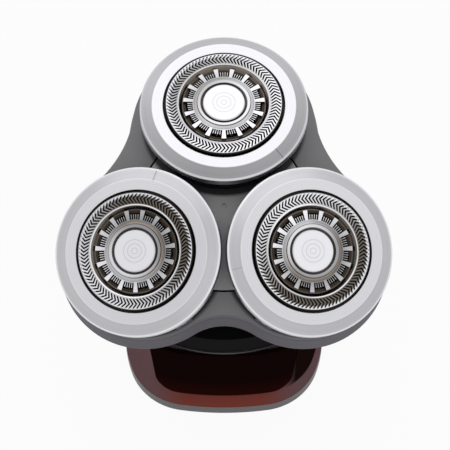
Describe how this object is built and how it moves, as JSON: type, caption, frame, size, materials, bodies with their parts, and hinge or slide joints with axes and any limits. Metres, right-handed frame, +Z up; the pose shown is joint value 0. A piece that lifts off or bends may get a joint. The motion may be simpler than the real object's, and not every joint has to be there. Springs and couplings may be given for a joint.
{
  "type": "rotary shaver head",
  "caption": "Rotary shaver head: round slotted shaving units that tilt on a lobed dark housing, driven by a gear train, on a short neck and hollow base.",
  "frame": {"origin": "centre of the base's flat bottom face", "axes": "+Z up out of the base; -Y is the front, the way the head leans; X runs left to right"},
  "size_m": [0.0576, 0.0563, 0.0552],
  "materials": {
    "satin_silver": "satin",
    "cap_steel": "polished",
    "screw_steel": "satin",
    "brass": "satin",
    "dark_plastic": "matte",
    "black_plastic": "satin",
    "gear_plastic": "matte",
    "grey_plastic": "satin",
    "maroon_gloss": "gloss",
    "window_gloss": "gloss",
    "trim_silver": "satin"
  },
  "bodies": {
    "base": {"base_plate": "black_plastic", "base_ring": "grey_plastic", "front_cover": "maroon_gloss", "front_window": "window_gloss", "rear_cover": "dark_plastic", "trim_ring": "trim_silver", "neck": "black_plastic", "gear_case": "black_plastic", "case_screws": "screw_steel", "shaft_bush": "brass", "lower_housing": "dark_plastic", "head_cover": "dark_plastic", "hub_cover": "dark_plastic"},
    "drive": {"drive_shaft": "screw_steel", "sun_gear": "gear_plastic"},
    "back_unit": {"back_skin_ring": "satin_silver", "back_shaving_cap": "cap_steel", "back_centre_disc": "satin_silver", "back_cap_retainer": "black_plastic", "back_carrier": "black_plastic", "back_pivot_pins": "screw_steel"},
    "back_spinner": {"back_cutter": "cap_steel", "back_cutter_driver": "gear_plastic", "back_coupling_spindle": "screw_steel", "back_spring_washer": "screw_steel"},
    "back_gear_body": {"back_gear": "gear_plastic"},
    "left_unit": {"left_skin_ring": "satin_silver", "left_shaving_cap": "cap_steel", "left_centre_disc": "satin_silver", "left_cap_retainer": "black_plastic", "left_carrier": "black_plastic", "left_pivot_pins": "screw_steel"},
    "left_spinner": {"left_cutter": "cap_steel", "left_cutter_driver": "gear_plastic", "left_coupling_spindle": "screw_steel", "left_spring_washer": "screw_steel"},
    "left_gear_body": {"left_gear": "gear_plastic"},
    "right_unit": {"right_skin_ring": "satin_silver", "right_shaving_cap": "cap_steel", "right_centre_disc": "satin_silver", "right_cap_retainer": "black_plastic", "right_carrier": "black_plastic", "right_pivot_pins": "screw_steel"},
    "right_spinner": {"right_cutter": "cap_steel", "right_cutter_driver": "gear_plastic", "right_coupling_spindle": "screw_steel", "right_spring_washer": "screw_steel"},
    "right_gear_body": {"right_gear": "gear_plastic"}
  },
  "joints": [
    {"name": "drive_spin", "type": "hinge", "parent": "base", "child": "drive", "pos_m": [0, 0.00368, 0.03068], "axis": [0, -0.2588, 0.9659], "continuous": true},
    {"name": "back_tilt", "type": "hinge", "parent": "base", "child": "back_unit", "pos_m": [0, 0.01514, 0.04926], "axis": [-1, 0, 0], "range_deg": [-3, 6], "stiffness_Nm_per_rad": 0.05},
    {"name": "back_cutter_spin", "type": "hinge", "parent": "back_unit", "child": "back_spinner", "pos_m": [0, 0.01515, 0.05246], "axis": [0, 0.0035, 1], "continuous": true},
    {"name": "back_gear_spin", "type": "hinge", "parent": "base", "child": "back_gear_body", "pos_m": [0, 0.01602, 0.0402], "axis": [0, -0.2588, 0.9659], "continuous": true},
    {"name": "left_tilt", "type": "hinge", "parent": "base", "child": "left_unit", "pos_m": [-0.01375, -0.00787, 0.0431], "axis": [0.5, -0.8365, -0.2241], "range_deg": [-3, 6], "stiffness_Nm_per_rad": 0.05},
    {"name": "left_cutter_spin", "type": "hinge", "parent": "left_unit", "child": "left_spinner", "pos_m": [-0.01448, -0.00907, 0.04597], "axis": [-0.2271, -0.3764, 0.8982], "continuous": true},
    {"name": "left_gear_spin", "type": "hinge", "parent": "base", "child": "left_gear_body", "pos_m": [-0.01246, -0.00483, 0.03461], "axis": [0, -0.2588, 0.9659], "continuous": true},
    {"name": "right_tilt", "type": "hinge", "parent": "base", "child": "right_unit", "pos_m": [0.01375, -0.00787, 0.0431], "axis": [0.5, 0.8365, 0.2241], "range_deg": [-3, 6], "stiffness_Nm_per_rad": 0.05},
    {"name": "right_cutter_spin", "type": "hinge", "parent": "right_unit", "child": "right_spinner", "pos_m": [0.01448, -0.00907, 0.04597], "axis": [0.2271, -0.3764, 0.8982], "continuous": true},
    {"name": "right_gear_spin", "type": "hinge", "parent": "base", "child": "right_gear_body", "pos_m": [0.01246, -0.00483, 0.03461], "axis": [0, -0.2588, 0.9659], "continuous": true}
  ],
  "couplings": [
    {"joint": "back_gear_spin", "follows": "drive_spin", "ratio": -0.5},
    {"joint": "back_cutter_spin", "follows": "drive_spin", "ratio": -0.5},
    {"joint": "left_gear_spin", "follows": "drive_spin", "ratio": -0.5},
    {"joint": "left_cutter_spin", "follows": "drive_spin", "ratio": -0.5},
    {"joint": "right_gear_spin", "follows": "drive_spin", "ratio": -0.5},
    {"joint": "right_cutter_spin", "follows": "drive_spin", "ratio": -0.5}
  ]
}
